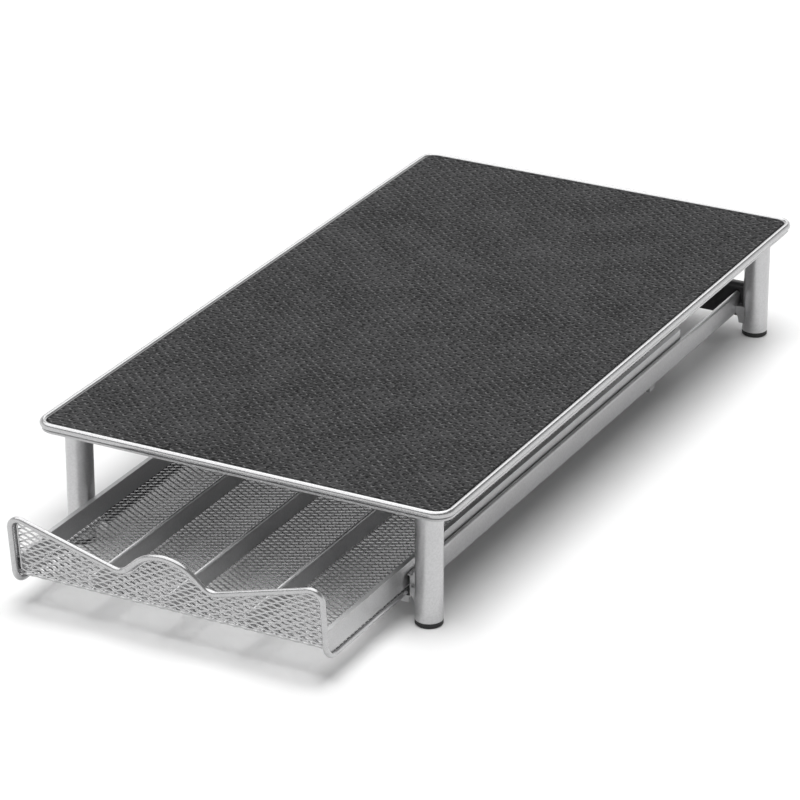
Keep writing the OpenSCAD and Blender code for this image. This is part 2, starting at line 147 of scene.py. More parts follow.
class PaintLooks(bpy.types.PropertyGroup):
    """Silver and black paint on the metal."""

    wire_silver: FloatVectorProperty(
        name="Wire silver", description="Colour of the silver paint on the wires",
        subtype="COLOR", size=3, min=0, max=1, default=(0.5, 0.5, 0.505))
    mesh_silver: FloatVectorProperty(
        name="Mesh silver", description="Colour of the silver paint on the expanded metal",
        subtype="COLOR", size=3, min=0, max=1, default=(0.52, 0.52, 0.525))
    sheet_silver: FloatVectorProperty(
        name="Sheet silver", description="Colour of the silver paint on the sheet metal",
        subtype="COLOR", size=3, min=0, max=1, default=(0.5, 0.5, 0.505))
    leg_silver: FloatVectorProperty(
        name="Leg silver", description="Colour of the silver paint on the legs",
        subtype="COLOR", size=3, min=0, max=1, default=(0.55, 0.55, 0.555))
    black: FloatVectorProperty(
        name="Black", description="Colour of the black paint on the rear plate",
        subtype="COLOR", size=3, min=0, max=1, default=(0.016, 0.016, 0.018))
    wire_dullness: FloatProperty(
        name="Wire dullness", description="Roughness of the paint on the wires and mesh",
        subtype="FACTOR", min=0.1, max=1, default=0.2)
    sheet_dullness: FloatProperty(
        name="Sheet dullness", description="Roughness of the paint on the sheet metal",
        subtype="FACTOR", min=0.1, max=1, default=0.32)
    leg_dullness: FloatProperty(
        name="Leg dullness", description="Roughness of the paint on the legs",
        subtype="FACTOR", min=0.1, max=1, default=0.32)
    flake: FloatProperty(
        name="Flake", description="Size of the grains in the silver paint",
        unit="LENGTH", min=0.00005, max=0.002, default=0.00018)
    mottle: FloatProperty(
        name="Mottle", description="Size of the faint mottle in the silver paint",
        unit="LENGTH", min=0.0002, max=0.01, default=0.001)


class MatLooks(bpy.types.PropertyGroup):
    """The foam rubber mat with its staggered pits."""

    rubber: FloatVectorProperty(
        name="Rubber", description="Colour of the mat between its pits",
        subtype="COLOR", size=3, min=0, max=1, default=(0.042, 0.042, 0.043))
    # Painted highlight: lighter rubber on the slope in front of each pit, where the light from
    # behind falls
    crest_highlight: FloatVectorProperty(
        name="Crest", description="Colour of the worn skin in front of each pit",
        subtype="COLOR", size=3, min=0, max=1, default=(0.19, 0.19, 0.191))
    # Painted shade: the pits are painted near black for the shade that falls in them
    pit: FloatVectorProperty(
        name="Pit", description="Colour at the bottom of the pits",
        subtype="COLOR", size=3, min=0, max=1, default=(0.008, 0.008, 0.009))
    column: FloatProperty(
        name="Column", description="From one column of pits to the next",
        unit="LENGTH", min=0.002, max=0.01, default=0.0033)
    pitch: FloatProperty(
        name="Pitch", description="From one pit to the next along a column",
        unit="LENGTH", min=0.003, max=0.02, default=0.0056)
    pit_width: FloatProperty(
        name="Pit width", description="Width of a pit, left to right",
        unit="LENGTH", min=0.0005, max=0.003, default=0.0015)
    pit_length: FloatProperty(
        name="Pit length", description="Length of a pit, front to rear",
        unit="LENGTH", min=0.0005, max=0.004, default=0.0021)
    depth: FloatProperty(
        name="Depth", description="Depth of the pits",
        unit="LENGTH", min=0, max=0.002, default=0.0007)
    swell: FloatProperty(
        name="Swell", description="How far the mat rises round each pit",
        unit="LENGTH", min=0, max=0.0005, default=0.00028)
    edge: FloatProperty(
        name="Edge", description="Radius of the mat's upper edge",
        unit="LENGTH", min=0.0001, max=0.002, default=0.0009)
    corner: FloatProperty(
        name="Corner", description="Radius of the mat's corners",
        unit="LENGTH", min=0.001, max=0.02, default=0.006)


class BasketLooks(bpy.types.PropertyGroup):
    """The drawer's wavy front and its expanded metal."""

    rake: FloatProperty(
        name="Rake", description="Forward lean of the front",
        subtype="ANGLE", min=0, max=0.3, default=math.radians(6.5))
    turn: FloatProperty(
        name="Turn", description="Bend radius of the wire where it turns up, at its centre",
        unit="LENGTH", default=0.008)
    corner_height: FloatProperty(
        name="Corner height", description="From the bend to the front's corners",
        unit="LENGTH", default=0.0282)
    corner_bend: FloatProperty(
        name="Corner bend", description="Bend radius of the front's corners",
        unit="LENGTH", default=0.0055)
    notch_height: FloatProperty(
        name="Notch height", description="From the bend to the front's notches",
        unit="LENGTH", default=0.0135)
    notch_place: FloatProperty(
        name="Notch place", description="From the middle to a notch",
        unit="LENGTH", default=0.0255)
    notch_bend: FloatProperty(
        name="Notch bend", description="Bend radius of the notches",
        unit="LENGTH", default=0.0085)
    hump_height: FloatProperty(
        name="Hump height", description="From the bend to the middle hump",
        unit="LENGTH", default=0.026)
    flank: FloatProperty(
        name="Flank", description="Slope of the hump's flanks",
        subtype="ANGLE", default=math.radians(43))
    rear_bend: FloatProperty(
        name="Rear bend", description="Bend radius of the rear corners, at the wire's centre",
        unit="LENGTH", default=0.006)
    cell_width: FloatProperty(
        name="Cell width", description="Width of one diamond",
        unit="LENGTH", min=0.002, max=0.02, default=0.0064)
    cell_height: FloatProperty(
        name="Cell height", description="Height of one diamond",
        unit="LENGTH", min=0.001, max=0.02, default=0.0035)
    strand: FloatProperty(
        name="Strand", description="Width of the strands",
        unit="LENGTH", min=0.0002, max=0.002, default=0.0008)
    sheet: FloatProperty(
        name="Sheet", description="Thickness of the sheet that the strands are cut from",
        unit="LENGTH", min=0.0002, max=0.001, default=0.0005)
    slant: FloatProperty(
        name="Slant", description="How far the strands are turned out of the sheet's plane",
        subtype="ANGLE", min=0, max=1, default=math.radians(25))
    rise: FloatProperty(
        name="Rise", description="How far a strand moves through the sheet from knot to knot",
        unit="LENGTH", min=0, max=0.001, default=0.0001)
    knot: FloatProperty(
        name="Knot", description="Length of the knots where two strands join",
        unit="LENGTH", min=0, max=0.002, default=0.0009)
    edge_out: FloatProperty(
        name="Edge, outside", description="From the wire's centre to the sheet's edge",
        unit="LENGTH", default=0.00055)
    edge_in: FloatProperty(
        name="Edge, inside", description="From the wire's centre to the diamonds",
        unit="LENGTH", default=0.0029)


class StageLooks(bpy.types.PropertyGroup):
    """Floor, lamps and camera."""

    camera_place: FloatVectorProperty(
        name="Camera", description="Where the camera stands, from the table under the mat's middle",
        subtype="TRANSLATION", size=3, default=(0.85686, -1.66670, 0.86718))
    camera_yaw: FloatProperty(
        name="Yaw", description="Turn of the camera from straight ahead",
        subtype="ANGLE", default=math.radians(27.763))
    camera_pitch: FloatProperty(
        name="Pitch", description="How far the camera looks down",
        subtype="ANGLE", default=math.radians(24.385))
    camera_lens: FloatProperty(
        name="Lens", description="Focal length of the camera",
        unit="CAMERA", default=181.53)
    sky: FloatProperty(
        name="Sky", description="Strength of the light from all round",
        min=0, max=2, default=0.14)
    ceiling: FloatProperty(
        name="Ceiling", description="How bright the sky overhead looks in a mirror",
        min=0, max=1, default=0.2)
    key: FloatProperty(
        name="Key", description="Strength of the broad light from above",
        min=0, default=2.81)
    key_spread: FloatProperty(
        name="Key spread", description="How broad the light from above is",
        subtype="ANGLE", default=math.radians(40))
    top_gloss: FloatProperty(
        name="Gloss, top", description="Strength of the light from above that only a mirror sees",
        min=0, default=2.2)
    top_spread: FloatProperty(
        name="Gloss spread", description="How broad the light from above looks in a mirror",
        subtype="ANGLE", default=math.radians(80))
    rear_gloss: FloatProperty(
        name="Gloss, rear", description="Strength of the light from behind that lines the wires",
        min=0, default=0.42)
    rear_spread: FloatProperty(
        name="Rear spread", description="How broad the light from behind is",
        subtype="ANGLE", default=math.radians(34))
    floor_glow: FloatProperty(
        name="Floor glow", description="What the floor adds of its own to look white",
        min=0, max=1, default=0.03)


# ---------------------------------------------------------------------------------------
# Shader maths
# ---------------------------------------------------------------------------------------


class Field:
    """One number that changes from place to place. Arithmetic on it adds Math nodes."""

    def __init__(self, finish, socket):
        self.finish = finish
        self.socket = socket

    def maths(self, operation, *values):
        """Adds a Math node that works on these values."""
        settings = {"operation": operation}
        node = self.finish.node("ShaderNodeMath", settings, dict(enumerate(values)))
        return Field(self.finish, node.outputs[0])

    def __add__(self, other):
        return self.maths("ADD", self, other)

    def __radd__(self, other):
        return self.maths("ADD", other, self)

    def __sub__(self, other):
        return self.maths("SUBTRACT", self, other)

    def __rsub__(self, other):
        return self.maths("SUBTRACT", other, self)

    def __mul__(self, other):
        return self.maths("MULTIPLY", self, other)

    def __rmul__(self, other):
        return self.maths("MULTIPLY", other, self)

    def __truediv__(self, other):
        return self.maths("DIVIDE", self, other)

    def __neg__(self):
        return 0 - self

    def fraction(self):
        return self.maths("FRACT", self)

    def root(self):
        return self.maths("SQRT", self)

    def most(self, other):
        return self.maths("MAXIMUM", self, other)

    def step(self, low, high):
        """0 below low, 1 above high, smooth between them."""
        settings = {"interpolation_type": "SMOOTHSTEP"}
        values = {"Value": self, "From Min": low, "From Max": high}
        node = self.finish.node("ShaderNodeMapRange", settings, values)
        return Field(self.finish, node.outputs["Result"])


class Nodes:
    """One node tree while it is made."""

    def __init__(self, tree):
        self.tree = tree
        tree.nodes.clear()

    def node(self, kind, settings=None, values=None):
        """Adds a node: its settings first, then its sockets' values or links."""
        node = self.tree.nodes.new(kind)
        for name, value in (settings or {}).items():
            setattr(node, name, value)
        for name, value in (values or {}).items():
            value = value.socket if isinstance(value, Field) else value
            if isinstance(value, bpy.types.NodeSocket):
                self.tree.links.new(value, node.inputs[name])
            else:
                node.inputs[name].default_value = value
        return node

    def shader(self, kind, values):
        """The output of a new shader node."""
        return self.node(kind, values=values).outputs[0]

    def mix_shaders(self, share, first, second):
        """The first shader where share is 0 and the second where it is 1."""
        return self.shader("ShaderNodeMixShader", {0: share, 1: first, 2: second})

    def place(self):
        """The point on the object, as a vector socket."""
        return self.node("ShaderNodeTexCoord").outputs["Object"]

    def axes(self):
        """The point's X, Y and Z as three fields."""
        split = self.node("ShaderNodeSeparateXYZ", values={"Vector": self.place()})
        return [Field(self, output) for output in split.outputs]

    def noise(self, size, detail=2.0, squeeze=None):
        """Soft noise round 0.5 whose lumps have about that size, or are longer along an axis
        that is squeezed."""
        place = self.place()
        if squeeze is not None:
            values = {"Vector": place, "Scale": squeeze}
            place = self.node("ShaderNodeMapping", values=values).outputs["Vector"]
        values = {"Vector": place, "Scale": 1 / size, "Detail": detail}
        return Field(self, self.node("ShaderNodeTexNoise", values=values).outputs["Fac"])

    def grains(self, size):
        """A random number for each grain of about that size."""
        values = {"Vector": self.place(), "Scale": 1 / size}
        cells = self.node("ShaderNodeTexVoronoi", values=values)
        split = self.node("ShaderNodeSeparateColor", values={"Color": cells.outputs["Color"]})
        return Field(self, split.outputs["Red"])

    def blend(self, share, first, second):
        """The first colour where share is 0 and the second where it is 1."""
        mix = self.node("ShaderNodeMix", {"data_type": "RGBA"}, {"Factor": share})
        for name, colour in (("A", first), ("B", second)):
            socket = [s for s in mix.inputs if s.name == name and s.type == "RGBA"][0]
            if isinstance(colour, bpy.types.NodeSocket):
                self.tree.links.new(colour, socket)
            else:
                socket.default_value = (*colour, 1)
        return [s for s in mix.outputs if s.type == "RGBA"][0]

    def bump(self, height, distance):
        """A normal that height raises by up to distance."""
        values = {"Height": height, "Distance": distance}
        return self.node("ShaderNodeBump", values=values).outputs["Normal"]

    def seen_rays(self):
        """1 for rays from the camera, from a mirror or through glass, and 0 for the rest."""
        path = self.node("ShaderNodeLightPath").outputs
        kinds = ("Camera", "Glossy", "Transmission")
        camera, mirror, glass = [Field(self, path[f"Is {kind} Ray"]) for kind in kinds]
        return camera.most(mirror).most(glass)


class Finish(Nodes):
    """One material while its nodes are made."""

    def __init__(self, name):
        self.material = bpy.data.materials.new(name)
        self.material.use_nodes = True
        super().__init__(self.material.node_tree)

    def surface(self, values):
        """Ends the material in one Principled shader."""
        shader = self.shader("ShaderNodeBsdfPrincipled", values)
        self.node("ShaderNodeOutputMaterial", values={"Surface": shader})
        return self.material


def shade(colour, factor):
    """A colour made lighter or darker."""
    return tuple(min(1, c * factor) for c in colour)


def silver_paint(name, colour, dullness, metallic):
    """Satin silver paint: fine grains and a faint mottle in it, and a slow change of gloss."""
    looks = bpy.context.scene.pod_paint
    cloud_size = 18 * MM
    peel_size = 2.2 * MM
    peel_depth = 0.008 * MM
    finish = Finish(name)
    grains = finish.grains(looks.flake)
    mottle = finish.noise(looks.mottle, detail=1.0).step(0.3, 0.7)
    cloud = finish.noise(cloud_size)
    share = grains * 0.2 + mottle * 0.4 + cloud * 0.4
    orange_peel = finish.noise(peel_size, detail=1.0)
    return finish.surface({
        "Base Color": finish.blend(share, shade(colour, 0.88), shade(colour, 1.12)),
        "Roughness": dullness - 0.04 + grains * 0.02 + cloud * 0.06,
        "Metallic": metallic,
        "Coat Weight": 0.25,
        "Coat Roughness": 0.3,
        "Normal": finish.bump(orange_peel, peel_depth),
    })


def black_paint():
    """Satin black paint with a slow change of shade and gloss, and a faint orange peel."""
    looks = bpy.context.scene.pod_paint
    cloud_size = 12 * MM
    peel_size = 1.2 * MM
    peel_depth = 0.02 * MM
    finish = Finish("black_paint")
    cloud = finish.noise(cloud_size)
    orange_peel = finish.noise(peel_size, detail=1.0)
    return finish.surface({
        "Base Color": finish.blend(cloud, shade(looks.black, 0.8), shade(looks.black, 1.3)),
        "Roughness": 0.36 + cloud * 0.1,
        "Normal": finish.bump(orange_peel, peel_depth),
    })


def zinc_plate():
    """Bright zinc on the studs and bushings."""
    cloud_size = 3 * MM
    dark = (0.5, 0.5, 0.47)
    light = (0.66, 0.66, 0.64)
    finish = Finish("zinc_plate")
    cloud = finish.noise(cloud_size)
    return finish.surface({
        "Base Color": finish.blend(cloud, dark, light),
        "Roughness": 0.3 + cloud * 0.12,
        "Metallic": 1.0,
    })


def foot_rubber():
    """Dull moulded rubber."""
    cloud_size = 4 * MM
    pore_size = 0.35 * MM
    pore_depth = 0.03 * MM
    dark = (0.012, 0.012, 0.012)
    light = (0.024, 0.024, 0.024)
    finish = Finish("foot_rubber")
    cloud = finish.noise(cloud_size)
    pores = finish.noise(pore_size, detail=3.0)
    return finish.surface({
        "Base Color": finish.blend(cloud, dark, light),
        "Roughness": 0.62 + cloud * 0.12,
        "Normal": finish.bump(pores, pore_depth),
    })


def mat_rubber():
    """Charcoal foam rubber: painted shade in its pits, a painted highlight in front of them, and a
    fine skin.
    """
    looks = bpy.context.scene.pod_mat
    skin_size = 1.0 * MM
    skin_squeeze = (0.4, 1, 1)
    skin_depth = 0.5 * MM
    pore_size = 0.35 * MM
    cloud_size = 30 * MM
    dark = shade(looks.rubber, 0.15)
    light = shade(looks.rubber, 1.85)
    finish = Finish("mat_rubber")
    x, y, _ = finish.axes()
    pits = []
    crest_highlights = []
    # The pits stand in two grids, the second half a cell further both ways
    for shift in (0.0, 0.5):
        across = ((x - MAT_MIDDLE.x) / (2 * looks.column) + shift).fraction() - 0.5
        along = ((y - MAT_MIDDLE.y) / looks.pitch + shift).fraction() - 0.5
        across = across * (4 * looks.column / looks.pit_width)
        along = along * (2 * looks.pitch / looks.pit_length)
        reach = (across * across + along * along).root()
        # Painted shade: near black inside each pit
        pits.append(1 - reach.step(*PIT_SHADE_FADE))
        # Painted highlight: a band on the front side of each pit, whose slope faces the light from
        # behind
        crest_highlight = reach.step(*CREST_RISE) * (1 - reach.step(*CREST_FADE))
        crest_highlights.append(crest_highlight * (-along).step(0.0, 1.0))
    pit = pits[0].most(pits[1])
    crest_highlight = crest_highlights[0].most(crest_highlights[1])
    skin = finish.noise(skin_size, squeeze=skin_squeeze)
    pores = finish.noise(pore_size)
    cloud = finish.noise(cloud_size)
    share = cloud * 0.15 + skin * 0.6 + pores * 0.25
    rubber = finish.blend(share.step(0.34, 0.66), dark, light)
    # Lays the painted highlight over the rubber
    highlit = finish.blend(crest_highlight * skin.step(0.35, 0.6), rubber, looks.crest_highlight[:])
    return finish.surface({
        # Painted shade in the pits, laid over everything else
        "Base Color": finish.blend(pit * 0.9, highlit, looks.pit[:]),
        "Roughness": 0.74 + pores * 0.16,
        "Normal": finish.bump(skin * 0.7 + pores * 0.3, skin_depth),
        "Specular IOR Level": 0.15,
    })


# ---------------------------------------------------------------------------------------
# Pieces
# ---------------------------------------------------------------------------------------


def new_piece(name, points, faces, material, body, replaced=()):
    """A mesh piece that rides on a body and stands for the CAD nodes it replaces."""
    mesh = bpy.data.meshes.new(name)
    mesh.from_pydata([tuple(p) for p in points], [], faces)
    mesh.materials.append(material)
    mesh.validate()
    work = bmesh.new()
    work.from_mesh(mesh)
    bmesh.ops.recalc_face_normals(work, faces=work.faces)
    work.to_mesh(mesh)
    work.free()
    piece = bpy.data.objects.new(name, mesh)
    bpy.context.scene.collection.objects.link(piece)
    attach(piece, body)
    if replaced:
        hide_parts(*replaced)
    return piece


def smooth_by_angle(piece, degrees):
    """Shades a piece smooth, but for edges sharper than the angle."""
    mesh = piece.data
    mesh.shade_smooth()
    mesh.set_sharp_from_angle(angle=math.radians(degrees))


def dress(node, material):
    """Gives a CAD node its material."""
    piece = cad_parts[node]
    if not piece.material_slots:
        piece.data.materials.append(material)
    for held in piece.material_slots:
        held.material = material
    return piece


def soften_edges(piece):
    """Rounds the sharp edges of a CAD node a little."""
    weld = piece.modifiers.new("weld", "WELD")
    weld.merge_threshold = WELD_REACH
    bevel = piece.modifiers.new("soft_edges", "BEVEL")
    bevel.width = SOFT_WIDTH
    bevel.segments = SOFT_SEGMENTS
    bevel.limit_method = "ANGLE"
    bevel.angle_limit = SHARP_ANGLE
    bevel.harden_normals = True


def ring_faces(first, second, count):
    """Quads between two closed rings of points that start at those numbers."""
    return [
        (first + i, first + (i + 1) % count, second + (i + 1) % count, second + i)
        for i in range(count)
    ]


def arc(centre, radius, start, end, steps):
    """Points of an arc in the plane, angles in radians."""
    angles = [start + (end - start) * i / steps for i in range(steps + 1)]
    return [(centre[0] + radius * math.cos(a), centre[1] + radius * math.sin(a)) for a in angles]


def mat_outline(inset):
    """Outline of the mat moved inwards by an inset, as plane points."""
    corner = bpy.context.scene.pod_mat.corner
    half_x = MAT_HIGH.x - corner
    half_y = (MAT_HIGH.y - MAT_LOW.y) / 2 - corner
    points = []
    for turn, (x, y) in enumerate(((1, 1), (-1, 1), (-1, -1), (1, -1))):
        start = turn * QUARTER
        centre = (x * half_x, MAT_MIDDLE.y + y * half_y)
        points += arc(centre, corner - inset, start, start + QUARTER, MAT_CORNER_STEPS)
    return points


def on_flat_top(looks, x, y):
    """Whether a point lies on the mat's flat top, inside its rounded edge."""
    corner = looks.corner
    over_x = max(0.0, abs(x) - (MAT_HIGH.x - corner))
    over_y = max(0.0, abs(y - MAT_MIDDLE.y) - (MAT_HIGH.y - MAT_MIDDLE.y - corner))
    return math.hypot(over_x, over_y) < corner - FLAT_START * looks.edge


def pitted_top(looks, points, faces):
    """Adds the mat's cells, each with a pit and a swell round it. Returns the loop round them."""
    half_w = looks.column / 2
    half_l = looks.pitch / 2
    columns = math.floor(MAT_HIGH.x / looks.column)
    rows = math.floor((MAT_HIGH.y - MAT_MIDDLE.y) / looks.pitch)
    rings = [
        (looks.pit_width * width, looks.pit_length * length, looks.swell * drop)
        for width, length, drop in PIT_RINGS
    ]
    knots = {}
    border = {}
    for column in range(-columns, columns + 1):
        for row in range(-rows - 1, rows + 1):
            # Middle of the cell on the grid of half widths and half lengths
            middle = (2 * column, 2 * row + (column % 2))
            keys = [(middle[0] + a, middle[1] + b) for a, b in ROUND_CELL]
            places = [(k[0] * half_w, MAT_MIDDLE.y + k[1] * half_l) for k in keys]
            if not all(on_flat_top(looks, *place) for place in places):
                continue
            for key, place in zip(keys, places):
                if key not in knots:
                    knots[key] = len(points)
                    points.append((*place, MAT_HIGH.z - looks.swell))
            outer = [knots[key] for key in keys]
            x = middle[0] * half_w
            y = MAT_MIDDLE.y + middle[1] * half_l
            for i, j in CELL_SIDES:
                edge = (outer[i], outer[j])
                if edge[::-1] in border:
                    del border[edge[::-1]]
                else:
                    border[edge] = True
            for width, length, drop in rings:
                inner = list(range(len(points), len(points) + AROUND))
                for i in range(AROUND):
                    angle = 4 * QUARTER * i / AROUND
                    across = x + width * math.cos(angle)
                    along = y + length * math.sin(angle)
                    points.append((across, along, MAT_HIGH.z - drop))
                faces += [(outer[i], outer[j], inner[j], inner[i]) for i, j in CELL_SIDES]
                outer = inner
            points.append((x, y, MAT_HIGH.z - looks.depth))
            faces += [(outer[i], outer[j], len(points) - 1) for i, j in CELL_SIDES]
    following = {first: second for first, second in border}
    loop = [next(iter(following))]
    while following[loop[-1]] != loop[0]:
        loop.append(following[loop[-1]])
    return loop


def build_mat():
    """Foam rubber mat with a rounded upper edge and staggered rows of pits."""
    looks = bpy.context.scene.pod_mat
    edge = looks.edge
    rings = [(0.0, MAT_LOW.z)]
    for i in range(MAT_EDGE_STEPS + 1):
        angle = QUARTER * i / MAT_EDGE_STEPS
        rings.append((edge * (1 - math.cos(angle)), MAT_HIGH.z - edge * (1 - math.sin(angle))))
    points = []
    faces = []
    for inset, z in rings:
        points += [(x, y, z) for x, y in mat_outline(inset)]
    count = len(points) // len(rings)
    for ring in range(len(rings) - 1):
        faces += ring_faces(ring * count, (ring + 1) * count, count)
    faces.append(tuple(range(count))[::-1])
    rim = list(range(len(points) - count, len(points)))
    loop = pitted_top(looks, points, faces)
    margin = rim + loop
    flat = [[Vector((*points[i][:2], 0)) for i in part] for part in (rim, loop)]
    faces += [tuple(margin[i] for i in triangle) for triangle in tessellate_polygon(flat)]
    piece = new_piece("embossed_mat", points, faces, mat_rubber(), "stand", ["top_mat"])
    smooth_by_angle(piece, degrees=75)


class Wave:
    """The front's wavy wire and its sheet, in the plane of the front and in the frame."""

    def __init__(self):
        looks = bpy.context.scene.pod_basket
        self.looks = looks
        self.side = (WIRE_LOW.x + WIRE_HIGH.x) / 2
        self.axis_y = WIRE_LOW.y
        self.axis_z = (WIRE_LOW.z + WIRE_HIGH.z) / 2 + looks.turn
        self.sheet_r = self.axis_z - (FLOOR_LOW.z + FLOOR_HIGH.z) / 2
        self.bend_length = self.sheet_r * (QUARTER - looks.rake)
        rise = (looks.hump_height - looks.notch_height) * math.cos(looks.flank)
        run = looks.notch_place * math.sin(looks.flank)
        self.hump_r = (run - rise) / (1 - math.cos(looks.flank)) - looks.notch_bend
        self.corner = (self.side - looks.corner_bend, looks.corner_height - looks.corner_bend)
        self.notch = (looks.notch_place, looks.notch_height + looks.notch_bend)
        self.hump = (0.0, looks.hump_height - self.hump_r)
        away = (self.corner[0] - self.notch[0], self.notch[1] - self.corner[1])
        reach = (looks.corner_bend + looks.notch_bend) / math.hypot(*away)
        self.slope = math.atan2(away[0], away[1]) - math.acos(reach)

    def half(self, inset):
        """Right half of the wave from the side to the middle, moved inwards by an inset."""
        corner_r = self.looks.corner_bend - inset
        notch_r = self.looks.notch_bend + inset
        hump_r = self.hump_r - inset
        slope = self.slope
        flank = self.looks.flank
        points = [(self.side - inset, 0.0)]
        points += arc(self.corner, corner_r, 0, QUARTER + slope, WAVE_CORNER_STEPS)
        points += arc(self.notch, notch_r, slope - QUARTER, -QUARTER - flank, WAVE_NOTCH_STEPS)
        points += arc(self.hump, hump_r, QUARTER - flank, QUARTER, WAVE_HUMP_STEPS)
        return points

    def whole(self, inset):
        """The wave from the right side to the left."""
        half = self.half(inset)
        return half + [(-x, y) for x, y in reversed(half[:-1])]

    def height(self, x, inset):
        """Height of the wave over a place across the front; below 0 outside it."""
        x = abs(x)
        half = self.half(inset)
        if x >= half[0][0]:
            return -1.0
        for (x1, y1), (x2, y2) in zip(half, half[1:]):
            if x2 <= x <= x1 and x1 > x2:
                return y1 + (y2 - y1) * (x1 - x) / (x1 - x2)
        return half[-1][1]

    def place(self, across, along, out):
        """A point of the sheet: along is 0 where the bend starts, below 0 on the floor and
        past the bend on the front; out is its distance outwards from the sheet's middle."""
        radius = self.sheet_r + out
        if along <= 0:
            return Vector((across, self.axis_y - along, self.axis_z - radius))
        lean = self.looks.rake
        angle = min(along / self.sheet_r, QUARTER - lean)
        up = max(0.0, along - self.bend_length)
        return Vector((
            across,
            self.axis_y - radius * math.sin(angle) - up * math.sin(lean),
            self.axis_z - radius * math.cos(angle) + up * math.cos(lean),
        ))


def strand_rows(wave, inside, first, last, columns, steps):
    """Centrelines of the strands, as runs of (across, along, out) that stay inside. Steps says
    how far along each slope its points lie, from one knot to the next."""
    looks = wave.looks
    half_w = looks.cell_width / 2
    half_h = looks.cell_height / 2
    lap = looks.strand * KNOT_LAP
    flat = looks.knot / 2 / half_w
    runs = []
    for row in range(first, last):
        line = []
        for i in range(-columns, columns):
            start, end = ((1, 0) if (i + row) % 2 else (0, 1))
            for step in steps:
                share = min(1.0, max(0.0, (step - flat) / (1 - 2 * flat)))
                high = start + (end - start) * share
                along = (row + high) * half_h + lap * (1 - 2 * high)
                line.append(((i + step) * half_w, along, looks.rise * (2 * high - 1)))
        run = []
        for start, end in zip(line, line[1:]):
            start_in = inside(start[0], start[1])
            end_in = inside(end[0], end[1])
            if start_in and not run:
                run = [start]
            if start_in and end_in:
                run.append(end)
            elif start_in:
                runs.append(run + [crossing(inside, start, end)])
                run = []
            elif end_in:
                run = [crossing(inside, end, start), end]
        if len(run) > 1:
            runs.append(run)
    return runs


def crossing(inside, kept, lost):
    """The point between a kept and a lost point where the sheet ends."""
    kept = Vector(kept)
    lost = Vector(lost)
    for _ in range(HALVINGS):
        middle = (kept + lost) / 2
        if inside(middle.x, middle.y):
            kept = middle
        else:
            lost = middle
    return tuple(kept)


def sweep_runs(wave, runs, section):
    """Points and faces of strands: each run's line carries the section, with closed ends.
    The section's points are (along, out) offsets from the line."""
    points = []
    faces = []
    count = len(section)
    for run in runs:
        first = len(points)
        for across, along, out in run:
            points += [wave.place(across, along + a, out + o) for a, o in section]
        for i in range(len(run) - 1):
            faces += ring_faces(first + i * count, first + (i + 1) * count, count)
        faces.append(tuple(range(first, first + count))[::-1])
        last = len(points) - count
        faces.append(tuple(range(last, last + count)))
    return points, faces


def strand_section(looks, bevel):
    """Section of a strand, (along, out) from its centreline: a slanted rectangle, with its
    corners bevelled where a bevel is given."""
    half_w = looks.strand / 2
    half_t = looks.sheet / 2
    corners = []
    for a, o in ((1, -1), (1, 1), (-1, 1), (-1, -1)):
        if not bevel:
            corners.append((a * half_w, o * half_t))
        elif a == o:
            corners += [(a * half_w, o * (half_t - bevel)), (a * (half_w - bevel), o * half_t)]
        else:
            corners += [(a * (half_w - bevel), o * half_t), (a * half_w, o * (half_t - bevel))]
    cos, sin = math.cos(looks.slant), math.sin(looks.slant)
    return [(a * cos + o * sin, o * cos - a * sin) for a, o in corners]


def build_front_mesh(material):
    """Expanded metal of the wavy front and its bend, with its uncut edge."""
    wave = Wave()
    looks = wave.looks
    half_h = looks.cell_height / 2
    columns = math.ceil(wave.side / (looks.cell_width / 2))
    reach = wave.side - looks.edge_out
    strand_inset = looks.edge_in - looks.strand

    def inside(across, along):
        if along <= wave.bend_length:
            return abs(across) <= reach
        return along - wave.bend_length <= wave.height(across, strand_inset)

    top_row = math.ceil((wave.bend_length + looks.corner_height) / half_h)
    flat = looks.knot / looks.cell_width
    steps = (flat, flat + KNOT_EASE, 0.5, 1 - KNOT_EASE - flat, 1 - flat)
    runs = strand_rows(wave, inside, 0, top_row, columns, steps)
    section = strand_section(looks, looks.sheet * STRAND_BEVEL)
    points, faces = sweep_runs(wave, runs, section)
    piece = new_piece(
        "expanded_front", points, faces, material, "drawer", ["front_mesh"])
    smooth_by_angle(piece, degrees=40)
    build_mesh_edge(wave, material)


def build_mesh_edge(wave, material):
    """Uncut edge of the front mesh, with a rolled lip round the diamonds."""
    looks = wave.looks
    half_t = looks.sheet / 2
    lip_middle = (looks.edge_in - LIP_RADIUS, LIP_OUT)
    lip = arc(lip_middle, LIP_RADIUS, -LIP_SWEEP, LIP_SWEEP, LIP_STEPS)
    section = [(looks.edge_out, half_t), (looks.edge_out, -half_t)] + lip
    count = len(section)
    rings = [wave.whole(inset) for inset, _ in section]
    points = []
    faces = []
    for i in range(len(rings[0])):
        for ring, (_, out) in zip(rings, section):
            across, up = ring[i]
            points.append(wave.place(across, wave.bend_length + up, out))
    for i in range(len(rings[0]) - 1):
        faces += ring_faces(i * count, (i + 1) * count, count)
    faces.append(tuple(range(count))[::-1])
    faces.append(tuple(range(len(points) - count, len(points))))
    piece = new_piece("expanded_front_edge", points, faces, material, "drawer")
    smooth_by_angle(piece, degrees=50)


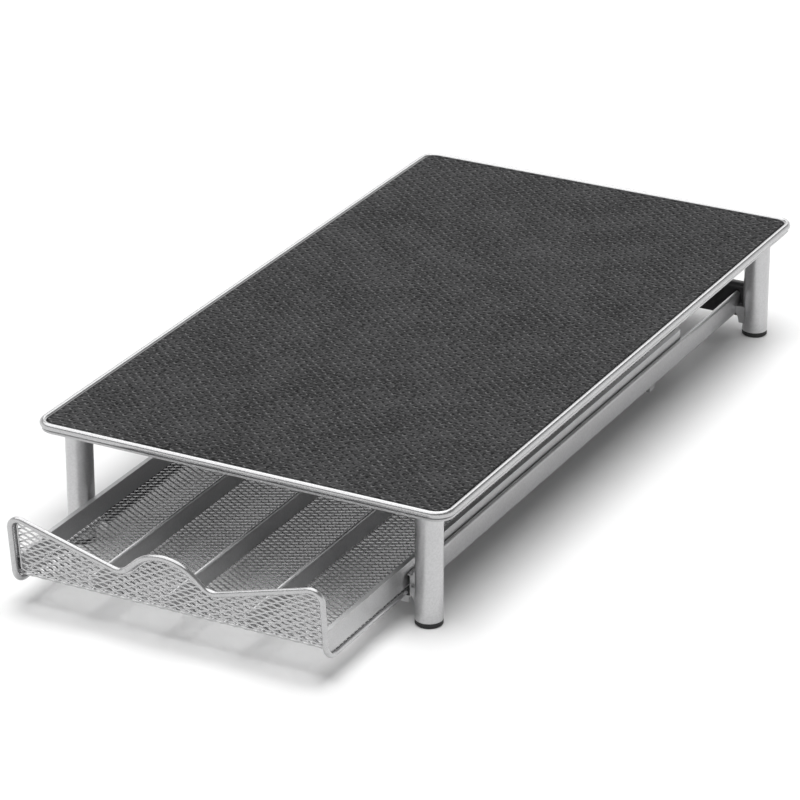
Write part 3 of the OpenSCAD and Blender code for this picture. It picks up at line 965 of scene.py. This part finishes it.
def build_floor_mesh(material):
    """Expanded metal of the drawer's floor, out to the band on three sides."""
    wave = Wave()
    looks = wave.looks
    half_h = looks.cell_height / 2
    columns = math.ceil(FLOOR_HIGH.x / (looks.cell_width / 2))
    length = FLOOR_HIGH.y - wave.axis_y
    corner_x = wave.side - looks.rear_bend
    corner_r = FLOOR_HIGH.x - corner_x
    corner_along = length - corner_r

    def inside(across, along):
        if abs(across) > FLOOR_HIGH.x or -along > length:
            return False
        over_x = abs(across) - corner_x
        over_y = -along - corner_along
        return over_x < 0 or over_y < 0 or math.hypot(over_x, over_y) <= corner_r

    rows = math.ceil(length / half_h)
    flat = looks.knot / looks.cell_width
    runs = strand_rows(wave, inside, -rows, 0, columns, (flat, 1 - flat))
    points, faces = sweep_runs(wave, runs, strand_section(looks, bevel=0))
    new_piece("expanded_floor", points, faces, material, "drawer", ["floor_mesh"])


# ---------------------------------------------------------------------------------------
# Operators
# ---------------------------------------------------------------------------------------


class PODDRAWER_OT_wires(bpy.types.Operator):
    """Paint the rim wire and the drawer's wire"""

    bl_idname = "poddrawer.wires"
    bl_label = "Wires"

    def execute(self, context):
        looks = context.scene.pod_paint
        paint = silver_paint("wire_paint", looks.wire_silver, looks.wire_dullness, WIRE_METAL)
        for node in ("rim_wire", "front_wire", "side_wire_left", "side_wire_right", "rear_wire"):
            dress(node, paint)
        return {"FINISHED"}


class PODDRAWER_OT_sheet_metal(bpy.types.Operator):
    """Paint the panel, guides, brackets, band, dividers and hooks, and soften their edges"""

    bl_idname = "poddrawer.sheet_metal"
    bl_label = "Sheet metal"

    def execute(self, context):
        looks = context.scene.pod_paint
        paint = silver_paint("sheet_paint", looks.sheet_silver, looks.sheet_dullness, SHEET_METAL)
        sheet = [
            "top_panel", "guide_left", "guide_right", "side_strip_left", "side_strip_right",
            "rear_strip", "divider_left", "divider_centre", "divider_right",
            "keeper_hook_left", "keeper_hook_right",
        ]
        sheet += [f"bracket_{corner}" for corner in CORNERS]
        for node in sheet:
            soften_edges(dress(node, paint))
        soften_edges(dress("rear_plate", black_paint()))
        return {"FINISHED"}


class PODDRAWER_OT_legs(bpy.types.Operator):
    """Finish the legs, their feet and the fasteners inside them"""

    bl_idname = "poddrawer.legs"
    bl_label = "Legs and feet"

    def execute(self, context):
        looks = context.scene.pod_paint
        paint = silver_paint("leg_paint", looks.leg_silver, looks.leg_dullness, LEG_METAL)
        rubber = foot_rubber()
        for corner in CORNERS:
            dress(f"leg_{corner}", paint)
            dress(f"foot_{corner}", rubber)
        zinc = zinc_plate()
        dress("leg_studs", zinc)
        dress("leg_inserts", zinc)
        return {"FINISHED"}


class PODDRAWER_OT_mat(bpy.types.Operator):
    """Build the embossed rubber mat"""

    bl_idname = "poddrawer.mat"
    bl_label = "Mat"

    def execute(self, context):
        build_mat()
        return {"FINISHED"}


class PODDRAWER_OT_basket(bpy.types.Operator):
    """Build the expanded metal of the drawer's front and floor"""

    bl_idname = "poddrawer.basket"
    bl_label = "Mesh basket"

    def execute(self, context):
        looks = context.scene.pod_paint
        paint = silver_paint("mesh_paint", looks.mesh_silver, looks.wire_dullness, MESH_METAL)
        build_front_mesh(paint)
        build_floor_mesh(paint)
        return {"FINISHED"}


def add_lamp(name, offset, strength, spread):
    """A far lamp in the direction of an offset from the mat's middle, which it looks at."""
    data = bpy.data.lights.new(name, "SUN")
    data.energy = strength
    data.angle = spread
    lamp = bpy.data.objects.new(name, data)
    lamp.location = MAT_MIDDLE + Vector(offset)
    lamp.rotation_euler = (-Vector(offset)).to_track_quat("-Z", "Y").to_euler()
    bpy.context.scene.collection.objects.link(lamp)
    return lamp


class PODDRAWER_OT_stage(bpy.types.Operator):
    """Set up the floor, the sky, the lamps and the camera"""

    bl_idname = "poddrawer.stage"
    bl_label = "Stage"

    def execute(self, context):
        looks = context.scene.pod_stage
        self.make_floor(looks)
        self.make_sky(looks)
        key = add_lamp("key_lamp", OVERHEAD, looks.key, looks.key_spread)
        key.visible_glossy = False
        top = add_lamp("top_lamp", ABOVE_LEFT, looks.top_gloss, looks.top_spread)
        top.visible_diffuse = False
        add_lamp("rear_lamp", BEHIND, looks.rear_gloss, looks.rear_spread)
        self.make_camera(looks)
        context.scene.view_settings.view_transform = "Standard"
        return {"FINISHED"}

    def make_floor(self, looks):
        """Matt white floor that keeps its shadows. The eye and a mirror see it a little lighter."""
        mesh = bpy.data.meshes.new("floor")
        square = ((-1, -1), (1, -1), (1, 1), (-1, 1))
        corners = [(x * FLOOR_REACH, y * FLOOR_REACH, 0) for x, y in square]
        mesh.from_pydata(corners, [], [(0, 1, 2, 3)])
        dark = (0.93, 0.93, 0.93)
        light = (0.95, 0.95, 0.95)
        finish = Finish("floor_white")
        white = finish.blend(finish.noise(FLOOR_CLOUD), dark, light)
        matt = finish.shader("ShaderNodeBsdfDiffuse", {"Color": white})
        values = {"Color": WHITE, "Strength": looks.floor_glow}
        glow = finish.shader("ShaderNodeEmission", values)
        both = finish.shader("ShaderNodeAddShader", {0: matt, 1: glow})
        mix = finish.mix_shaders(finish.seen_rays(), matt, both)
        finish.node("ShaderNodeOutputMaterial", values={"Surface": mix})
        mesh.materials.append(finish.material)
        floor = bpy.data.objects.new("floor", mesh)
        bpy.context.scene.collection.objects.link(floor)

    def make_sky(self, looks):
        """White at eye level and dimmer overhead for what the eye and a mirror see, and an even
        soft light for the rest."""
        world = bpy.data.worlds.new("sky")
        bpy.context.scene.world = world
        world.use_nodes = True
        sky = Nodes(world.node_tree)
        direction = sky.node("ShaderNodeTexCoord").outputs["Generated"]
        split = sky.node("ShaderNodeSeparateXYZ", values={"Vector": direction})
        overhead = Field(sky, split.outputs["Z"]).step(*WALL_TOP)
        light, wall, ceiling = [
            sky.shader("ShaderNodeBackground", {"Color": WHITE, "Strength": strength})
            for strength in (looks.sky, WALL_LIGHT, looks.ceiling)
        ]
        room = sky.mix_shaders(overhead, wall, ceiling)
        mix = sky.mix_shaders(sky.seen_rays(), light, room)
        sky.node("ShaderNodeOutputWorld", values={"Surface": mix})

    def make_camera(self, looks):
        """Camera at the front right, looking down on the stand."""
        data = bpy.data.cameras.new("camera")
        data.lens = looks.camera_lens
        data.sensor_width = FILM_WIDTH
        data.clip_end = SIGHT
        camera = bpy.data.objects.new("camera", data)
        camera.location = Vector((MAT_MIDDLE.x, MAT_MIDDLE.y, 0)) + Vector(looks.camera_place)
        camera.rotation_euler = Euler((QUARTER - looks.camera_pitch, 0, looks.camera_yaw))
        bpy.context.scene.collection.objects.link(camera)
        bpy.context.scene.camera = camera


class PODDRAWER_PT_panel(bpy.types.Panel):
    """Lists the pieces and their sizes"""

    bl_label = "Pod Drawer"
    bl_idname = "PODDRAWER_PT_panel"
    bl_space_type = "VIEW_3D"
    bl_region_type = "UI"
    bl_category = "Pod Drawer"

    def draw(self, context):
        for group, operators in PANEL_ROWS.items():
            box = self.layout.box()
            looks = getattr(context.scene, group)
            for name in looks.__annotations__:
                box.prop(looks, name)
            for operator in operators:
                box.operator(operator)


PANEL_ROWS = {
    "pod_paint": ("poddrawer.wires", "poddrawer.sheet_metal", "poddrawer.legs"),
    "pod_mat": ("poddrawer.mat",),
    "pod_basket": ("poddrawer.basket",),
    "pod_stage": ("poddrawer.stage",),
}
GROUPS = {
    "pod_paint": PaintLooks,
    "pod_mat": MatLooks,
    "pod_basket": BasketLooks,
    "pod_stage": StageLooks,
}
CLASSES = (
    PaintLooks, MatLooks, BasketLooks, StageLooks,
    PODDRAWER_OT_wires, PODDRAWER_OT_sheet_metal, PODDRAWER_OT_legs,
    PODDRAWER_OT_mat, PODDRAWER_OT_basket, PODDRAWER_OT_stage,
    PODDRAWER_PT_panel,
)


def register():
    for item in CLASSES:
        bpy.utils.register_class(item)
    for name, group in GROUPS.items():
        setattr(bpy.types.Scene, name, PointerProperty(type=group))


def unregister():
    for name in GROUPS:
        delattr(bpy.types.Scene, name)
    for item in reversed(CLASSES):
        bpy.utils.unregister_class(item)


def main():
    """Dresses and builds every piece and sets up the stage."""
    register()
    bpy.ops.poddrawer.wires()
    bpy.ops.poddrawer.sheet_metal()
    bpy.ops.poddrawer.legs()
    bpy.ops.poddrawer.mat()
    bpy.ops.poddrawer.basket()
    bpy.ops.poddrawer.stage()


if __name__ == "__main__":
    main()
